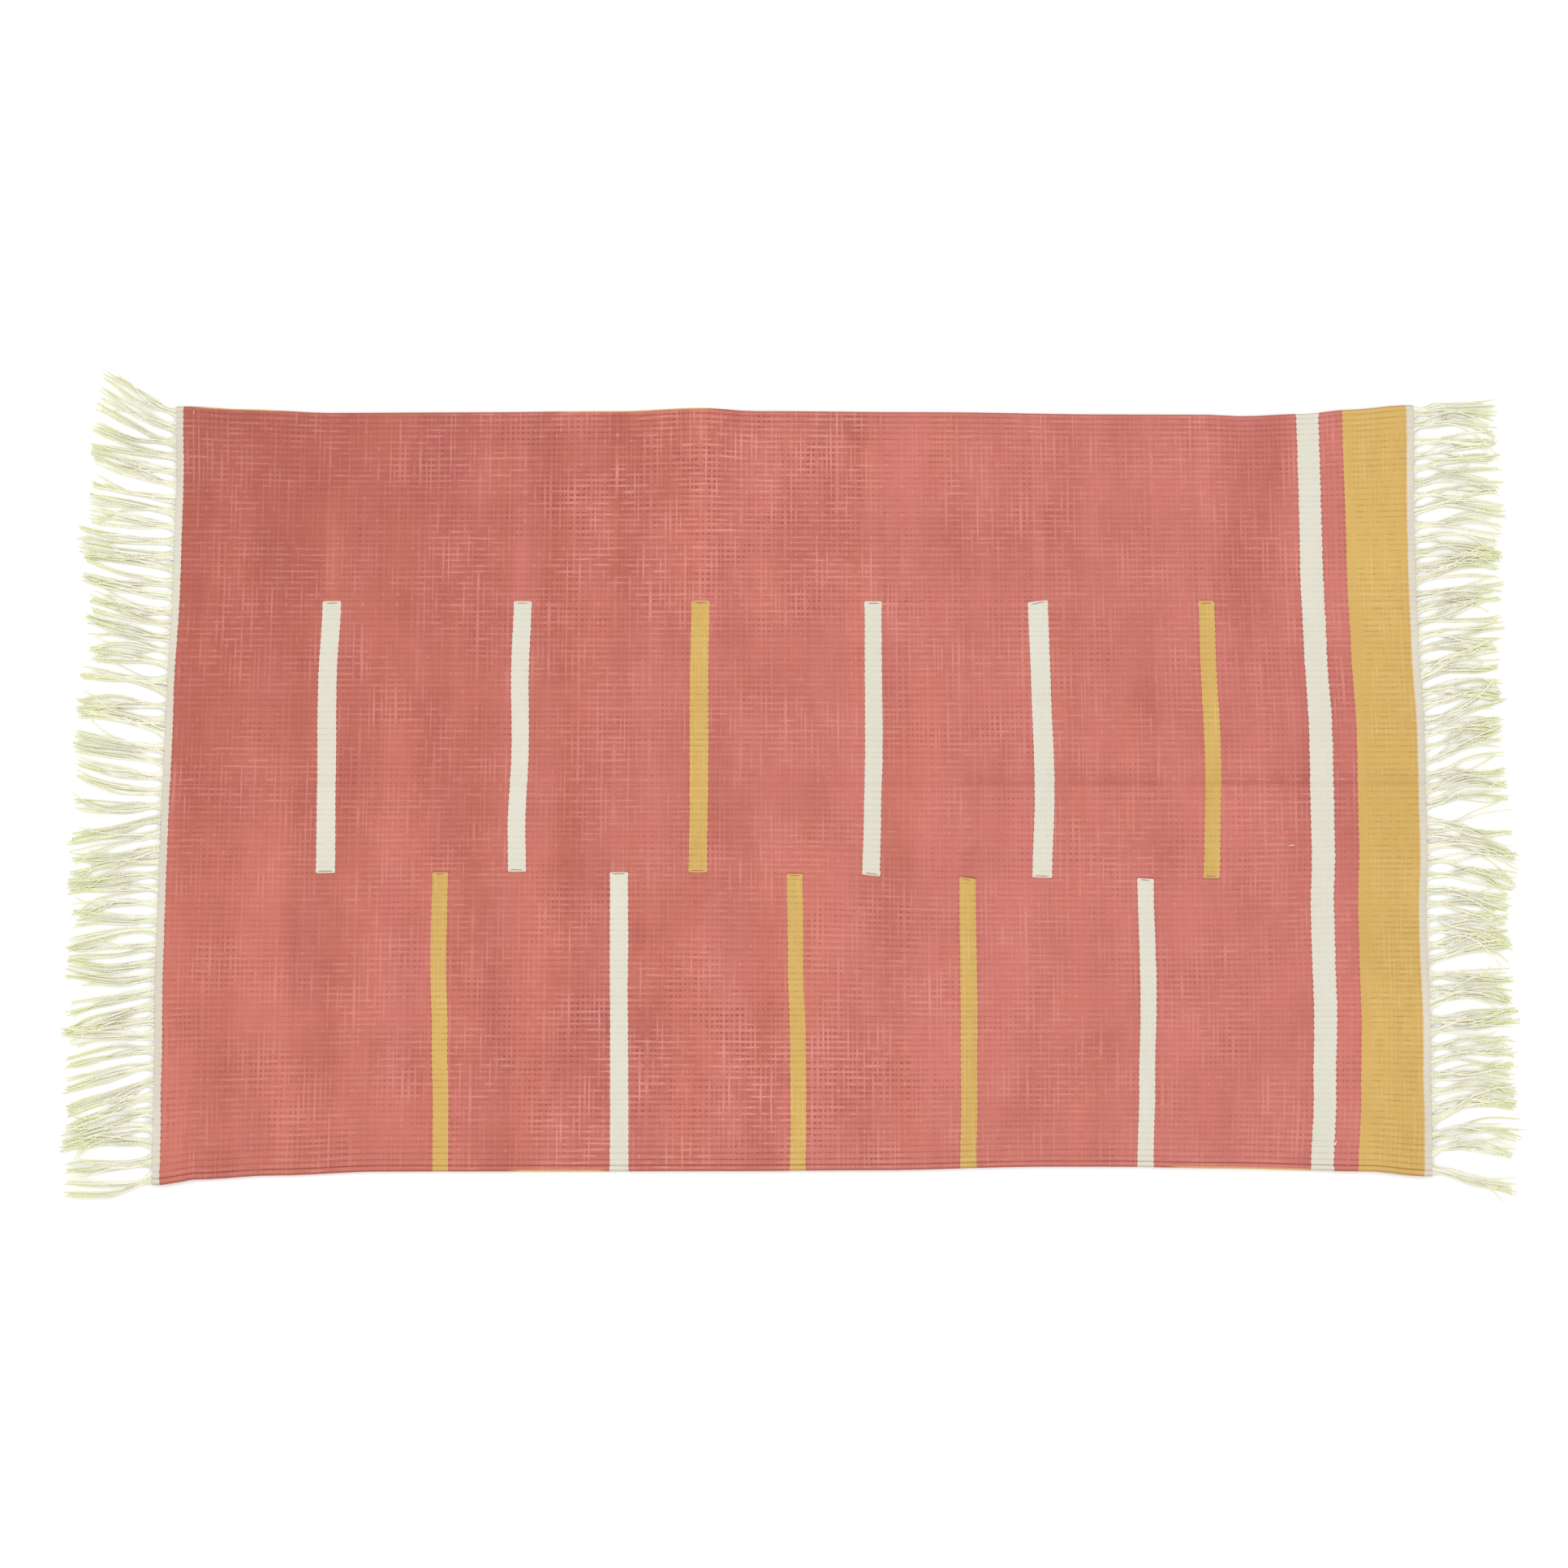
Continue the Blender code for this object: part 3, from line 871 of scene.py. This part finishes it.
def weftGroup():
    # masks of a weft-faced weave: the vector is metres along the rug, then the count of ribs across it
    tree = bpy.data.node_groups.new("weftFace", "ShaderNodeTree")
    tree.interface.new_socket("Weave", in_out="INPUT", socket_type="NodeSocketVector")
    for label, usual in weftInputs.items():
        tree.interface.new_socket(label, in_out="INPUT", socket_type="NodeSocketFloat").default_value = usual
    for label in weftMasks:
        tree.interface.new_socket(label, in_out="OUTPUT", socket_type="NodeSocketFloat")
    look = weftLook
    given = tree.nodes.new("NodeGroupInput").outputs
    result = tree.nodes.new("NodeGroupOutput").inputs

    along, v, _ = wired("SeparateXYZ", given["Weave"])
    u = plus(along, given["Shift"])
    rib, part = maths("FLOOR", v), maths("FRACT", v)

    def spread(along, across, seed, detail=2.0):
        return grain(combine(times(u, along), across, seed), detail)

    # painted highlight: a pale line runs along the crown of each rib, stronger and weaker by turns
    strays = scaled(less(spread(26.0, times(rib, 3.1), 1.0), 0.5), 0.7, 0.5)
    offLine = offFrom(part, strays)
    ribLine = ramp(offLine, *look["ribThread"])
    ribLight = times(ribLine, ramp(spread(75.0, times(rib, 5.7), 6.0, 3.0), 0.36, 0.66))
    # picks cross the ribs, unevenly spaced
    wander = times(less(spread(60.0, times(v, 0.20), 11.0, 1.0), 0.5), look["pickWander"])
    uneven = times(less(spread(70.0, 0.0, 2.0, 1.0), 0.5), look["pickUneven"])
    counted = plus(maths("DIVIDE", plus(u, wander), given["Pick Pitch"]), uneven)
    pick = maths("FLOOR", counted)
    offPick = offFrom(maths("FRACT", counted), 0.5)
    pickLine = ramp(offPick, *look["pickThread"])
    life = grain(combine(times(pick, 5.17), times(v, 0.11), 3.0), 3.0)
    pickLight = times(pickLine, ramp(life, 0.42, 0.66))
    # the painted highlights on the crossing threads show more in some areas than in others
    area = ramp(spread(17.0, times(v, 0.085), 4.0, 3.0), 0.38, 0.62)
    light = times(larger(times(ribLight, 0.95), pickLight), scaled(area, 0.75, 0.25))
    chance = grain(combine(times(pick, 3.31), times(rib, 2.9), 8.0), 1.0)
    fleck = times(ramp(chance, 0.60, 0.70), pickLine, ramp(offLine, 0.30, 0.10))
    light = larger(light, times(fleck, look["fleck"]))
    fibre = spread(look["fibresAlong"], times(v, look["fibresAcross"]), 5.0)
    light = times(light, scaled(fibre, 1.2, 0.4), given["Lines"])
    # painted shade: dark dots between the picks where the ribs meet, and broken dark lines along the valleys
    fromCrest = offFrom(part, 0.5)
    valley = ramp(fromCrest, *look["valley"])
    thinValley = ramp(fromCrest, *look["thinValley"])
    perDot = ramp(grain(combine(times(pick, 2.7), times(rib, 4.1), 5.0), 1.0), 0.36, 0.58)
    dotArea = scaled(ramp(spread(19.0, times(v, 0.10), 14.0, 3.0), 0.40, 0.66), 0.75, 0.25)
    dots = times(valley, ramp(offPick, 0.14, 0.30), times(perDot, dotArea), look["dot"])
    dash = ramp(spread(130.0, times(rib, 3.71), 21.0, 3.0), 0.47, 0.62)
    dash = times(thinValley, dash, given["Dashes"])
    longDark = times(ramp(life, 0.40, 0.30), ramp(offPick, 0.32, 0.44), look["longDark"])
    dark = larger(times(larger(dots, longDark), given["Dots"]), dash)
    # painted shade in the grooves between the ribs by a selvedge, darker nearer the edge, the first groove
    # darkest
    toEdge = maths("MINIMUM", v, less(float(ribTotal), v))
    broken = ramp(spread(24.0, times(rib, 1.3), 40.0, 3.0), 0.30, 0.55)
    groove = times(ramp(toEdge, *look["edgeRibs"]), broken, look["edgeGroove"])
    groove = times(thinValley, groove, ramp(toEdge, 0.4, 0.6))
    first = ramp(offFrom(v, 1.0), 0.20, 0.09)
    groove = larger(groove, times(first, scaled(broken, *look["firstGroove"])))
    # the crease: a soft shade that stops at a line
    overFold = less(v, float(rows[foldRow][3]))
    band = times(ramp(overFold, *look["creaseShade"]), ramp(overFold, *look["creaseStop"]))
    line = ramp(maths("ABSOLUTE", plus(overFold, look["creaseLine"])), 0.20, 0.06)
    reach = times(ramp(u, -0.02, 0.26), ramp(spread(11.0, 0.0, 30.0), 0.30, 0.52))
    crease = times(larger(times(band, 0.8), line), reach, times(given["Dots"], look["crease"]))
    dark = larger(dark, crease)
    # broad shade bands along the picks, blocks of picks dyed a little apart, and soft mottling
    blockRow = maths("FLOOR", plus(times(v, 0.11), times(spread(9.0, 0.0, 17.0, 0.0), 5.0)))
    corner = combine(maths("FLOOR", times(u, look["blocksAlong"])), blockRow)
    block = wired("TexWhiteNoise", corner, noise_dimensions="2D")["Value"]
    shades = {"mottle": spread(13.0, times(v, 0.07), 7.0, 3.0), "block": block, "fibre": fibre}
    tone = times(less(spread(24.0, times(v, 0.012), 33.0, 5.0), 0.5), look["tone"]["broad"])
    for label, shade in shades.items():
        tone = plus(tone, times(less(shade, 0.5), look["tone"][label]))
    # the picks stand in rows of small floats
    height = times(less(1.0, times(offPick, 1.6)), 0.6)
    height = plus(plus(height, times(ribLine, 0.25)), times(fibre, 0.5))
    height = less(height, times(dark, 0.7))
    made = (dark, light, tone, valley, height, groove, ramp(toEdge, *look["rim"]))
    for label, mask in zip(weftMasks, made):
        tree.links.new(mask, result[label])
    return tree


weftFace = weftGroup()


def uvOf(tree, name):
    node = tree.nodes.new("ShaderNodeUVMap")
    node.uv_map = name
    return wired("SeparateXYZ", node.outputs[0])[:2], node.outputs[0]


def attribute(tree, name):
    node = tree.nodes.new("ShaderNodeAttribute")
    node.attribute_name = name
    return node.outputs["Fac"]


def cornerShade(u, v):
    # the coral is deeper towards its back left corner and its left end
    corner = times(ramp(u, -0.08, -0.49), ramp(v, 0.42 * ribTotal, 1.0 * ribTotal))
    end = times(ramp(u, -0.43, -0.49), 0.08)
    end = less(end, times(ramp(v, 0.55 * ribTotal, 0.25 * ribTotal), 0.06))
    right = times(ramp(u, -0.25, 0.15), -0.14)
    return plus(plus(times(corner, 0.42), end), right)


def barStreaks(u, v):
    # the picks that close above each long bar lie a little paler
    top = rows[rowAt(longBarTop)][3]
    middles = [(bar["left"] + bar["right"]) / 2 for bar in bars if bar["long"]]
    streak = larger(*[ramp(offFrom(u, middle), 0.0075, 0.0030) for middle in middles])
    return times(streak, ramp(v, top - 0.5, top + 1.5), 0.16)


# where mustard yarn carried along a selvedge shows: from, to, and whether it's the back edge
carried = [(-0.216, -0.147, False), (0.296, 0.407, False), (-0.477, -0.413, True), (-0.184, -0.068, True)]
carriedLook = {"end": 0.008, "bare": (0.30, 0.085, 0.055), "yarn": (0.62, 0.40, 0.12)}


def rimColour(u, v):
    # painted shade on the rolled-under edge, except where the carried mustard yarn shows in its own colour
    back = ramp(v, 0.4 * ribTotal, 0.6 * ribTotal)
    front = less(1.0, back)
    end = carriedLook["end"]
    found = 0.0
    for low, high, onBack in carried:
        inside = times(ramp(u, low - end, low + end), ramp(u, high + end, high - end))
        found = larger(found, times(inside, back if onBack else front))
    return mixColour(found, carriedLook["bare"], carriedLook["yarn"])


tasselGapShadowColour = (0.14, 0.115, 0.075)


def weftMaterial(name, look):
    material, shader = newMaterial(name, look["roughness"])
    tree = material.node_tree
    (u, v), weaveUv = uvOf(tree, "Weave")
    marks = {"Lines": look["lines"], "Dots": look["dots"], "Dashes": look["dashes"]}
    if look.get("aged"):
        # the weave stands out most near the two long edges, left of the middle
        middle = ramp(maths("ABSOLUTE", plus(u, 0.07)), 0.27, 0.05)
        outer = ramp(offFrom(v, ribTotal / 2), 0.13 * ribTotal, 0.36 * ribTotal)
        strength = scaled(times(middle, outer), 0.55, 0.76)
        marks = {label: times(strength, share) for label, share in marks.items()}
    if "calm" in look:
        # the first picks of the band lie smooth
        start = bounds[look["calm"]]
        strength = ramp(u, start + 0.004, start + 0.011, 0.25, 1.0)
        marks = {label: times(strength, share) for label, share in marks.items()}
    group = tree.nodes.new("ShaderNodeGroup")
    group.node_tree = weftFace
    given = {"Weave": weaveUv, "Pick Pitch": look["pickPitch"], "Shift": look["shift"]}
    feedAll(group.inputs, {**given, **marks})
    face = group.outputs

    toned = scaled(face["Tone"], look["toneShare"], 0.5)
    if look.get("aged"):
        toned = plus(less(toned, cornerShade(u, v)), barStreaks(u, v))
    colour = mixColour(ramp(toned, 0.0, 1.0), look["deep"], look["pale"])
    if "warm" in look:
        # some picks are dyed a little warmer, more of them to the left and by the front edge
        hue = grain(combine(times(u, 30.0), times(v, 0.02), 51.0), 3.0)
        hue = ramp(less(hue, times(u, 0.35)), 0.38, 0.68)
        colour = mixColour(hue, colour, look["warm"], "MULTIPLY")
    # the seam to the next colour gets painted shade on the coral and the neighbour's colour bleeding in on
    # the paler wefts, strongest between the ribs
    notch = scaled(face["Valley"], look["seamNotch"], look["seamPlain"])
    # painted shade, painted highlight, painted shade in the grooves, the edge colour and the seam colour laid
    # over the weft
    overlays = [
        (face["Dark"], look["shadow"]),
        (face["Light"], look["glint"]),
        (times(face["Groove"], 0.80), look["groove"]),
        (times(face["Rim"], look["rim"]), rimColour(u, v)),
        (times(ramp(attribute(tree, "joint"), 0.20, 0.95), notch), look["seam"]),
    ]
    if "end" in look:
        # the last picks of a bar let the next colour through
        frayed = grain(combine(times(u, 700.0), times(v, 4.0), 71.0), 1.0)
        frayed = ramp(scaled(frayed, 1.1, attribute(tree, "end")), 1.00, 1.35)
        overlays.append((times(frayed, 0.75), look["end"]))
    # painted shadow between the tassel roots on the heading's outer edge
    overlays.append((times(ramp(attribute(tree, "gap"), 0.30, 0.85), 0.75), tasselGapShadowColour))
    for factor, over in overlays:
        colour = mixColour(factor, colour, over)
    feed(shader["Base Color"], colour)
    feed(shader["Roughness"], ramp(face["Light"], 0.0, 1.0, look["roughness"], look["roughness"] - 0.08))
    addBump(shader, face["Height"], look["bump"], 0.0003)
    return material


looks = {
    "coral": {
        "deep": (0.405, 0.108, 0.087), "pale": (0.560, 0.173, 0.144), "warm": (1.0, 0.99, 0.90),
        "shadow": (0.235, 0.045, 0.040), "glint": (0.700, 0.290, 0.240), "groove": (0.200, 0.048, 0.036),
        "seam": (0.205, 0.045, 0.038), "seamNotch": 0.60, "seamPlain": 0.12, "rim": 0.75,
        "roughness": 0.92, "pickPitch": 0.0040, "dots": 0.76, "dashes": 0.42, "lines": 0.64, "shift": 0.0,
        "toneShare": 0.52, "bump": 0.6, "aged": True,
    },
    "mustard": {
        "deep": (0.515, 0.320, 0.086), "pale": (0.640, 0.425, 0.130),
        "shadow": (0.330, 0.175, 0.045), "glint": (0.740, 0.545, 0.235), "groove": (0.260, 0.120, 0.035),
        "seam": (0.690, 0.370, 0.120), "seamNotch": 0.10, "seamPlain": 0.40, "rim": 0.40,
        "roughness": 0.92, "pickPitch": 0.0035, "dots": 0.30, "dashes": 0.52, "lines": 0.36, "shift": 0.37,
        "toneShare": 0.36, "bump": 0.6, "end": (0.640, 0.330, 0.130),
    },
    "white": {
        "deep": (0.612, 0.590, 0.490), "pale": (0.682, 0.662, 0.570),
        "shadow": (0.430, 0.400, 0.320), "glint": (0.715, 0.700, 0.620), "groove": (0.330, 0.240, 0.160),
        "seam": (0.690, 0.545, 0.430), "seamNotch": 0.25, "seamPlain": 0.30, "rim": 0.30,
        "roughness": 0.90, "pickPitch": 0.0040, "dots": 0.18, "dashes": 0.34, "lines": 0.28, "shift": 0.71,
        "toneShare": 0.32, "bump": 0.5, "end": (0.640, 0.390, 0.290),
    },
    "heading": {
        "deep": (0.580, 0.530, 0.440), "pale": (0.700, 0.660, 0.560),
        "shadow": (0.380, 0.340, 0.260), "glint": (0.700, 0.670, 0.580), "groove": (0.330, 0.260, 0.200),
        "seam": (0.640, 0.440, 0.350), "seamNotch": 0.30, "seamPlain": 0.25, "rim": 0.30,
        "roughness": 0.92, "pickPitch": 0.0014, "dots": 0.30, "dashes": 0.25, "lines": 0.30, "shift": 0.13,
        "toneShare": 0.45, "bump": 0.7,
    },
}
looks["band"] = {**looks["mustard"], "calm": "mustardLeft", "dots": 0.42, "dashes": 0.60, "lines": 0.40}
weft = {name: weftMaterial(name + "_weft", look) for name, look in looks.items()}
yarnLook = {"roughness": 0.93, "ply": 12.566, "twist": 140.0, "bump": 0.5, "bumpHeight": 0.0002}


def yarnMaterial(name, pale, deep, tip):
    material, shader = newMaterial(name, yarnLook["roughness"])
    tree = material.node_tree
    (along, around), _ = uvOf(tree, "Yarn")
    tone = attribute(tree, "tone")
    patch = grain(combine(times(along, 9.0), times(tone, 37.0)), 3.0)
    colour = mixColour(ramp(scaled(tone, 0.5, patch), 0.45, 1.05), pale, deep)
    # the plies wind round each other, with a painted shade line in the groove between them
    ply = maths("SINE", plus(times(around, yarnLook["ply"]), times(along, yarnLook["twist"])))
    colour = mixColour(times(ramp(ply, -0.4, -1.0), 0.5), colour, deep)
    colour = mixColour(times(ramp(along, 0.40, 1.0), scaled(tone, 0.6, 0.25)), colour, tip)
    feed(shader["Base Color"], colour)
    addBump(shader, ply, yarnLook["bump"], yarnLook["bumpHeight"])
    return material


warpYarnMaterial = yarnMaterial(
    "warp_yarn", (0.930, 0.915, 0.760), (0.720, 0.700, 0.520), (0.770, 0.800, 0.430))
pickMaterial = yarnMaterial("loose_pick", (0.560, 0.230, 0.170), (0.420, 0.160, 0.120), (0.560, 0.230, 0.170))
print("materials made")

# every piece gets its finish and hides the nodes that it stands for; the ones with a body are hung on it, the
# rest are baked in place
clothSlots = {
    "coral": "coral_weft", "band": "mustard_weft", "mustard": "mustard_weft", "white": "white_weft",
    "heading": "cream_heading",
}


def finishPiece(piece, material, nodes=(), body=None):
    piece.data.materials.append(material)
    if nodes:
        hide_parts(*nodes)
    if body:
        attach(piece, body)
    else:
        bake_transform(piece)


for name, piece in cloth.items():
    kind = next(k for k in clothSlots if k in name)
    onFront = name.startswith("edge_bar")
    nodes = [name] if onFront else [name + "_front", name + "_back"]
    finishPiece(piece, weft[kind], nodes, "front_half" if onFront else None)
for (end, half), piece in fringePieces.items():
    finishPiece(piece, warpYarnMaterial, nodesNamed(f"fringe_{end}_{half}"), half + "_half")
finishPiece(warpYarns, warpYarnMaterial, nodesNamed("warp_"))
for half, (cord, picks, specks) in halves.items():
    finishPiece(cord, warpYarnMaterial, [f"selvedge_cord_{half}"], half + "_half")
    finishPiece(picks, pickMaterial, body=half + "_half")
    finishPiece(specks, warpYarnMaterial, body=half + "_half")

# floor, light and camera
stage = {
    "floor": (0.97, 0.97, 0.965), "floorSize": 12.0, "floorHeight": -0.0002,
    "skyLight": 1.05,
    "key": {"location": (-1.0, 0.9, 3.3), "size": 2.0, "power": 17},
    "fill": {"location": (1.3, -0.6, 3.3), "size": 2.6, "power": 7},
    "aim": (-0.0078, 0.0002, 0.0), "tilt": 7.7, "distance": 2.0, "seenWidth": 1.2318, "sensor": 36,
}


def makeFloor():
    bm = bmesh.new()
    bmesh.ops.create_grid(bm, x_segments=2, y_segments=2, size=stage["floorSize"] / 2)
    floor = addObject("floor", meshFrom(bm, "floor"))
    floor.location.z = stage["floorHeight"]
    material, shader = newMaterial("floor_paint", 0.9)
    feed(shader["Base Color"], stage["floor"])
    floor.data.materials.append(material)


makeFloor()
world = bpy.data.worlds.new("studio")
world.use_nodes = True
sky = world.node_tree.nodes["Background"]
sky.inputs["Color"].default_value = (1, 1, 1, 1)
sky.inputs["Strength"].default_value = stage["skyLight"]
bpy.context.scene.world = world
for name in ("key", "fill"):
    light = bpy.data.lights.new(name, "AREA")
    light.shape, light.size, light.energy = "SQUARE", stage[name]["size"], stage[name]["power"]
    lamp = addObject(name, light)
    lamp.location = stage[name]["location"]
    lamp.rotation_mode = "QUATERNION"
    lamp.rotation_quaternion = (-lamp.location).to_track_quat("-Z", "Y")
bpy.context.scene.view_settings.view_transform = "Standard"

camera = bpy.data.cameras.new("camera")
cameraObject = addObject("camera", camera)
tilt = math.radians(stage["tilt"])
aim = Vector(stage["aim"])
cameraObject.location = aim + stage["distance"] * Vector((0, -math.sin(tilt), math.cos(tilt)))
cameraObject.rotation_euler = (tilt, 0, 0)
camera.sensor_width = stage["sensor"]
camera.lens = stage["sensor"] * stage["distance"] / stage["seenWidth"]
bpy.context.scene.camera = cameraObject
